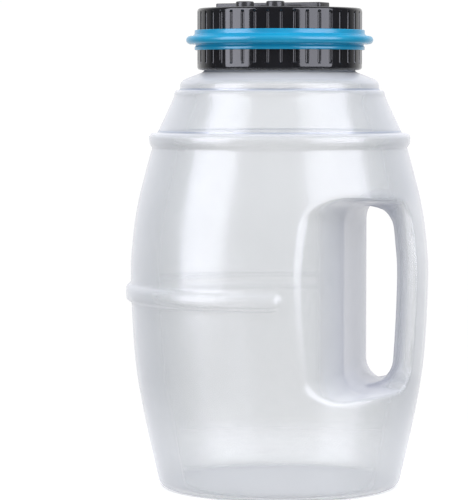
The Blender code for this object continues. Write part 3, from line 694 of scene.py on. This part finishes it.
def make_currency_mark(x, y):
    """A dollar sign bent from one flat strip, with its upright bar."""
    path = arc((0, 1.55), 1.55, 25, 270, 12) + arc((0, -1.55), 1.55, 90, -155, 12)
    for name, route, radius in (("sign_curve", path, 0.42), ("sign_bar", [(0, 4.3), (0, -4.3)], 0.26)):
        rings = []
        for i, (u, v) in enumerate(route):
            a, b = route[max(i - 1, 0)], route[min(i + 1, len(route) - 1)]
            length = hypot(b[0] - a[0], b[1] - a[1])
            side = (-(b[1] - a[1]) / length * radius, (b[0] - a[0]) / length * radius)
            ring = []
            for sign, up in ((-1, 0.0), (1, 0.0), (1, INK_THICK), (-1, INK_THICK)):
                ring.append((x + u * 1.15 + sign * side[0], y + v + sign * side[1], INK_LOW + up))
            rings.append(ring)
        piece = new_piece(name, skinned(name, rings), MATERIALS["lcd_ink"], 30)
        settle(turn_with_lid(piece), "lid", "lcd_green")


# ---------------------------------------------------------------- materials


class Graph:
    """Short names for building one material's nodes."""

    def __init__(self, name):
        self.material = bpy.data.materials.new(name)
        self.material.use_nodes = True
        self.nodes = self.material.node_tree.nodes
        self.links = self.material.node_tree.links
        self.shader = self.nodes["Principled BSDF"]
        self.where = self.nodes.new("ShaderNodeTexCoord").outputs["Object"]

    def link(self, a, b):
        self.links.new(a, b)

    def noise(self, scale, detail=3.0, roughness=0.5):
        made = self.nodes.new("ShaderNodeTexNoise")
        made.inputs["Scale"].default_value = scale
        made.inputs["Detail"].default_value = detail
        made.inputs["Roughness"].default_value = roughness
        self.link(self.where, made.inputs["Vector"])
        return made.outputs["Fac"]

    def coordinates(self):
        split = self.nodes.new("ShaderNodeSeparateXYZ")
        self.link(self.where, split.inputs["Vector"])
        return split.outputs["X"], split.outputs["Y"], split.outputs["Z"]

    def spread(self, value, low, high, from_low=0.3, from_high=0.7):
        """The value mapped to a new range. The range it comes from is that of a noise if none is given."""
        made = self.nodes.new("ShaderNodeMapRange")
        made.inputs["From Min"].default_value = from_low
        made.inputs["From Max"].default_value = from_high
        made.inputs["To Min"].default_value = low
        made.inputs["To Max"].default_value = high
        self.link(value, made.inputs["Value"])
        return made.outputs["Result"]

    def maths(self, operation, a, b=0.0):
        made = self.nodes.new("ShaderNodeMath")
        made.operation = operation
        for value, socket in ((a, made.inputs[0]), (b, made.inputs[1])):
            if isinstance(value, float):
                socket.default_value = value
            else:
                self.link(value, socket)
        return made.outputs["Value"]

    def between(self, value, dark, light):
        """A mix of a colour, or another node's, and a second colour."""
        made = self.nodes.new("ShaderNodeMix")
        made.data_type = "RGBA"
        if isinstance(dark, bpy.types.NodeSocket):
            self.link(dark, made.inputs["A"])
        else:
            made.inputs["A"].default_value = (*dark, 1)
        made.inputs["B"].default_value = (*light, 1)
        self.link(value, made.inputs["Factor"])
        return made.outputs["Result"]

    def bump(self, value, strength, distance):
        made = self.nodes.new("ShaderNodeBump")
        made.inputs["Strength"].default_value = strength
        made.inputs["Distance"].default_value = distance
        self.link(value, made.inputs["Height"])
        self.link(made.outputs["Normal"], self.shader.inputs["Normal"])


def moulded(name, colour, rough, grain=(900, 0.15, 0.00008), mottle=0.08, metallic=0.0, coat=0.0):
    """A plain material with mottled colour, uneven gloss and a fine grain: (scale, strength, depth)."""
    g = Graph(name)
    broad = g.noise(60, 4)
    dark = [c * (1 - mottle) for c in colour]
    light = [min(c * (1 + mottle), 1) for c in colour]
    g.link(g.between(g.spread(broad, 0, 1), dark, light), g.shader.inputs["Base Color"])
    g.link(g.spread(g.noise(220, 5, 0.6), *rough), g.shader.inputs["Roughness"])
    g.shader.inputs["Metallic"].default_value = metallic
    if coat:
        g.shader.inputs["Coat Weight"].default_value = coat
        g.shader.inputs["Coat Roughness"].default_value = 0.08
    g.bump(g.noise(grain[0], 2, 0.5), grain[1], grain[2])
    return g.material


def frosted_jar():
    """Milky blow-moulded plastic: part of the light goes straight through, less of it at a glancing angle. Its
    colour holds a painted sheen at the rim and painted shade in the handle's scoops and the shoulder's creases.
    """
    g = Graph("frosted_jar")
    cloud = g.spread(g.noise(22, 3), 0, 1)
    milk = g.between(cloud, (0.655, 0.69, 0.72), (0.695, 0.725, 0.75))
    # Painted sheen: the colour turns a pale lavender where the surface is seen at a glancing angle.
    facing = g.nodes.new("ShaderNodeLayerWeight")
    facing.inputs["Blend"].default_value = 0.3
    rim = g.between(g.spread(facing.outputs["Facing"], 0, 1, 0.2, 0.9), milk, (0.84, 0.85, 0.93))
    x, y, z = g.coordinates()
    # Painted shade: 1 on the walls of the handle's scoops, which lie inside the barrel. Their colour is painted
    # darker there, darkest towards the hand hole's middle, and they are made a little less clear.
    radius = g.maths("SQRT", g.maths("ADD", g.maths("MULTIPLY", x, x), g.maths("MULTIPLY", y, y)))
    scoop_shade = g.maths("MULTIPLY", g.spread(radius, 1, 0, 0.056, 0.068), g.spread(z, 0, 1, 0.03, 0.045))
    scoop_shade = g.maths("MULTIPLY", scoop_shade, g.spread(z, 1, 0, 0.148, 0.156))
    scoop_depth_shade = g.spread(g.maths("ABSOLUTE", y), 0.95, 0.55, 0.034, 0.038)
    # The scoops' painted shade: a darker lavender grey.
    scoop_shaded = g.between(g.maths("MULTIPLY", scoop_shade, scoop_depth_shade), rim, (0.53, 0.55, 0.63))
    # Painted shade: 1 in the narrow creases of the shoulder, where the colour is painted a darker blue-grey and
    # the alpha raised.
    crease_shade = None
    for crease in SHOULDER_CREASES:
        off = g.maths("ABSOLUTE", g.maths("SUBTRACT", z, crease * MM))
        one_crease_shade = g.spread(off, 1, 0, 0.1 * MM, 0.75 * MM)
        crease_shade = g.maths("ADD", crease_shade, one_crease_shade) if crease_shade else one_crease_shade
    g.link(g.between(crease_shade, scoop_shaded, (0.42, 0.47, 0.58)), g.shader.inputs["Base Color"])
    g.link(g.spread(g.noise(40, 4), 0.2, 0.26), g.shader.inputs["Roughness"])
    seen = g.spread(facing.outputs["Facing"], 0.21, 0.85, 0.08, 0.9)
    seen = g.maths("ADD", seen, g.maths("MULTIPLY", scoop_shade, 0.12))
    g.link(g.maths("ADD", seen, g.maths("MULTIPLY", crease_shade, 0.3)), g.shader.inputs["Alpha"])
    g.shader.inputs["IOR"].default_value = 1.95
    g.shader.inputs["Specular IOR Level"].default_value = 0.6
    g.bump(g.noise(60, 2), 0.1, 0.0003)
    return g.material


def gloss_black():
    """The cap's glossy black, satin on the deck, with faint rub marks."""
    g = Graph("gloss_black")
    fine = g.spread(g.noise(70, 5, 0.65), 0, 1)
    black = g.between(fine, (0.010, 0.010, 0.012), (0.016, 0.016, 0.019))
    deck = g.spread(g.coordinates()[2], 0.0, 0.24, (DECK_TOP - 0.9) * MM, (DECK_TOP - 0.2) * MM)
    greyed = g.between(g.spread(deck, 0, 1, 0.12, 0.24), black, (0.048, 0.048, 0.052))
    g.link(greyed, g.shader.inputs["Base Color"])
    rub = g.spread(g.noise(160, 3), 0.05, 0.1)
    g.link(g.maths("ADD", deck, rub), g.shader.inputs["Roughness"])
    g.bump(g.noise(400, 2), 0.04, 0.00005)
    return g.material


def blue_band():
    """The grip band's soft plastic: blue, half glossy."""
    g = Graph("blue_band")
    broad = g.spread(g.noise(45, 4), 0, 1)
    g.link(g.between(broad, (0.005, 0.29, 0.52), (0.007, 0.335, 0.59)), g.shader.inputs["Base Color"])
    g.link(g.spread(g.noise(120, 3), 0.2, 0.27), g.shader.inputs["Roughness"])
    g.bump(g.noise(500, 2), 0.04, 0.00005)
    return g.material


def clear_lens():
    """The display's clear lens, which shows more of the room at a glancing angle."""
    g = Graph("clear_lens")
    g.shader.inputs["Base Color"].default_value = (0.05, 0.06, 0.055, 1)
    g.link(g.spread(g.noise(120, 5, 0.7), 0.02, 0.07), g.shader.inputs["Roughness"])
    facing = g.nodes.new("ShaderNodeLayerWeight")
    facing.inputs["Blend"].default_value = 0.25
    g.link(g.spread(facing.outputs["Fresnel"], 0.03, 0.6, 0.0, 1.0), g.shader.inputs["Alpha"])
    return g.material


def lcd_face():
    """The display's pale green-grey back, slightly cloudy."""
    g = Graph("lcd_face")
    cloud = g.spread(g.noise(90, 3), 0, 1)
    g.link(g.between(cloud, (0.42, 0.50, 0.44), (0.47, 0.55, 0.49)), g.shader.inputs["Base Color"])
    g.link(g.spread(g.noise(500, 3), 0.22, 0.34), g.shader.inputs["Roughness"])
    g.bump(g.noise(2500, 1), 0.05, 0.00003)
    return g.material


def circuit_green():
    """Solder mask over copper tracks."""
    g = Graph("circuit_green")
    tracks = g.nodes.new("ShaderNodeTexBrick")
    tracks.inputs["Scale"].default_value = 260
    tracks.inputs["Mortar Size"].default_value = 0.035
    tracks.inputs["Color1"].default_value = (0.010, 0.085, 0.035, 1)
    tracks.inputs["Color2"].default_value = (0.014, 0.105, 0.045, 1)
    tracks.inputs["Mortar"].default_value = (0.05, 0.20, 0.08, 1)
    g.link(g.where, tracks.inputs["Vector"])
    g.link(tracks.outputs["Color"], g.shader.inputs["Base Color"])
    g.link(g.spread(g.noise(400, 3), 0.3, 0.45), g.shader.inputs["Roughness"])
    g.bump(tracks.outputs["Fac"], 0.3, 0.00004)
    return g.material


def striped_rubber():
    """The display's connector strip: thin layers of pale and black rubber in turn."""
    g = Graph("zebra_rubber")
    wave = g.nodes.new("ShaderNodeTexWave")
    wave.inputs["Scale"].default_value = 900
    wave.inputs["Distortion"].default_value = 0.3
    g.link(g.where, wave.inputs["Vector"])
    g.link(g.between(wave.outputs["Fac"], (0.5, 0.22, 0.28), (0.06, 0.03, 0.035)), g.shader.inputs["Base Color"])
    g.link(g.spread(g.noise(600, 3), 0.6, 0.8), g.shader.inputs["Roughness"])
    return g.material


def make_materials():
    steel_grain = (700, 0.12, 0.00006)
    return {
        "deck_satin": moulded("deck_satin", (0.042, 0.042, 0.045), (0.24, 0.34), (1300, 0.12, 0.00006)),
        "black_plastic": moulded("black_plastic", (0.018, 0.018, 0.02), (0.35, 0.5), (1100, 0.25, 0.0001)),
        "white_plastic": moulded("white_plastic", (0.68, 0.68, 0.65), (0.4, 0.55)),
        "grey_rubber": moulded("grey_rubber", (0.16, 0.16, 0.17), (0.6, 0.8), (1600, 0.3, 0.0001)),
        "black_epoxy": moulded("black_epoxy", (0.012, 0.012, 0.012), (0.2, 0.4), (300, 0.3, 0.0002)),
        "steel": moulded("bright_steel", (0.62, 0.62, 0.63), (0.16, 0.3), steel_grain, 0.05, 1.0),
        "copper": moulded("bronze", (0.72, 0.42, 0.2), (0.22, 0.38), steel_grain, 0.1, 1.0),
        "cell_label": moulded("cell_sleeve", (0.06, 0.075, 0.11), (0.25, 0.38), coat=0.4),
        "red_wire": moulded("red_wire", (0.5, 0.012, 0.012), (0.32, 0.42)),
        "black_wire": moulded("black_wire", (0.012, 0.012, 0.012), (0.32, 0.42)),
        "lcd_ink": moulded("lcd_ink", (0.012, 0.015, 0.013), (0.4, 0.5)),
        "clear_plastic": clear_lens(),
        "lcd_green": lcd_face(),
        "board_green": circuit_green(),
        "zebra_rubber": striped_rubber(),
    }


def dress_frame():
    """Every CAD node that still shows gets the procedural material of its slot."""
    slots = {s["node"]: s["material_slot"] for s in frame["record"]["subparts"]}
    for name, node in frame["nodes"].items():
        if slots[name] in MATERIALS:
            node.data.materials.clear()
            node.data.materials.append(MATERIALS[slots[name]])


# ---------------------------------------------------------------- camera, floor and light

CAMERA_AZIMUTH, CAMERA_DISTANCE, CAMERA_HEIGHT = radians(12), 1.300, 0.200
CAMERA_PITCH, CAMERA_LEFT, FOCAL_LENGTH = radians(3.6), 0.02275, 187.2
BOX_DISTANCE, BOX_LIFT, BOX_HEIGHT, BOX_AIM = 1.1, 0.55, 1.3, 0.12
FLOOR_R, FADE_FROM, FADE_TO = 0.3, 0.1, 0.26


def at_azimuth(azimuth, distance, height):
    return Vector((distance * sin(azimuth), -distance * cos(azimuth), height))


def make_camera():
    data = bpy.data.cameras.new("camera")
    data.lens = FOCAL_LENGTH
    data.sensor_width = 36
    data.clip_start, data.clip_end = 0.05, 50
    camera = bpy.data.objects.new("camera", data)
    bpy.context.scene.collection.objects.link(camera)
    right = Vector((cos(CAMERA_AZIMUTH), sin(CAMERA_AZIMUTH), 0))
    camera.location = at_azimuth(CAMERA_AZIMUTH, CAMERA_DISTANCE, CAMERA_HEIGHT) - right * CAMERA_LEFT
    camera.rotation_euler = (pi / 2 - CAMERA_PITCH, 0, CAMERA_AZIMUTH)
    bpy.context.scene.camera = camera


def softbox(name, azimuth, distance, height, size, power, seen_by):
    """An area light that points at the jar and lights only its gloss, or only its matt part."""
    data = bpy.data.lights.new(name, "AREA")
    data.shape = "RECTANGLE"
    data.size, data.size_y = size
    data.energy = power
    data.color = (0.95, 0.96, 1.08)
    lamp = bpy.data.objects.new(name, data)
    bpy.context.scene.collection.objects.link(lamp)
    lamp.location = at_azimuth(azimuth, distance, height)
    lamp.rotation_euler = (Vector((0, 0, BOX_AIM)) - lamp.location).to_track_quat("-Z", "Y").to_euler()
    lamp.visible_diffuse = seen_by == "matt"
    lamp.visible_glossy = seen_by == "gloss"


def make_lights():
    left, right = CAMERA_AZIMUTH - radians(62), CAMERA_AZIMUTH + radians(51)
    softbox("left_box", left, BOX_DISTANCE, BOX_LIFT, (0.83, BOX_HEIGHT), 19, "gloss")
    softbox("right_box", right, BOX_DISTANCE, BOX_LIFT, (1.12, BOX_HEIGHT), 22, "gloss")
    softbox("left_fill", left, BOX_DISTANCE, BOX_LIFT, (0.74, BOX_HEIGHT), 2, "matt")
    softbox("right_fill", right, BOX_DISTANCE, BOX_LIFT, (1.0, BOX_HEIGHT), 2.5, "matt")
    softbox("top_fill", CAMERA_AZIMUTH, 0.5, 1.5, (1.2, 1.2), 8, "matt")


def make_world():
    """White to the eye and softer as a light. The gloss sees a dark room with a white screen behind the jar."""
    world = bpy.data.worlds.new("studio")
    bpy.context.scene.world = world
    world.use_nodes = True
    nodes, links = world.node_tree.nodes, world.node_tree.links
    rays = nodes.new("ShaderNodeLightPath")
    where = nodes.new("ShaderNodeTexCoord").outputs["Generated"]

    def ramp(value, from_low, from_high, low, high):
        made = nodes.new("ShaderNodeMapRange")
        for name, number in (("From Min", from_low), ("From Max", from_high), ("To Min", low), ("To Max", high)):
            made.inputs[name].default_value = number
        links.new(value, made.inputs["Value"])
        return made.outputs["Result"]

    def mixed(share, first):
        made = nodes.new("ShaderNodeMix")
        made.data_type = "FLOAT"
        links.new(first, made.inputs["A"])
        links.new(share, made.inputs["Factor"])
        return made

    behind = nodes.new("ShaderNodeVectorMath")
    behind.operation = "DOT_PRODUCT"
    behind.inputs[1].default_value = -at_azimuth(CAMERA_AZIMUTH, 1.0, 0.0)
    links.new(where, behind.inputs[0])
    split = nodes.new("ShaderNodeSeparateXYZ")
    links.new(where, split.inputs["Vector"])
    light = mixed(rays.outputs["Is Glossy Ray"], ramp(split.outputs["Z"], -0.6, 0.6, 0.5, 1.15))
    links.new(ramp(behind.outputs["Value"], 0.35, 0.85, 0.07, 1.0), light.inputs["B"])
    seen = mixed(rays.outputs["Is Camera Ray"], light.outputs["Result"])
    seen.inputs["B"].default_value = 1.02
    background = nodes["Background"]
    background.inputs["Color"].default_value = (1, 1, 1, 1)
    links.new(seen.outputs["Result"], background.inputs["Strength"])


def make_floor():
    """A round pale floor that fades out into the background."""
    mesh = bpy.data.meshes.new("floor")
    bm = bmesh.new()
    bmesh.ops.create_circle(bm, cap_ends=True, segments=96, radius=FLOOR_R)
    bm.to_mesh(mesh)
    bm.free()
    floor = bpy.data.objects.new("floor", mesh)
    bpy.context.scene.collection.objects.link(floor)
    g = Graph("pale_floor")
    pale = g.between(g.spread(g.noise(3), 0, 1), (0.93, 0.935, 0.945), (0.95, 0.95, 0.955))
    g.link(pale, g.shader.inputs["Base Color"])
    g.shader.inputs["Roughness"].default_value = 0.6
    g.shader.inputs["Specular IOR Level"].default_value = 0.1
    g.shader.inputs["Emission Color"].default_value = (1, 1, 1, 1)
    g.shader.inputs["Emission Strength"].default_value = 0.22
    far = g.nodes.new("ShaderNodeVectorMath")
    far.operation = "LENGTH"
    g.link(g.where, far.inputs[0])
    g.link(g.spread(far.outputs["Value"], 1, 0, FADE_FROM, FADE_TO), g.shader.inputs["Alpha"])
    floor.data.materials.append(g.material)
    floor.visible_diffuse = False


bpy.context.scene.view_settings.view_transform = "Standard"
MATERIALS = make_materials()
make_camera()
make_floor()
make_world()
make_lights()
dress_frame()
make_jar()
make_lid_cap()
make_lid_thread()
make_grip_band()
make_coin_guide()
make_buttons()
make_segments()
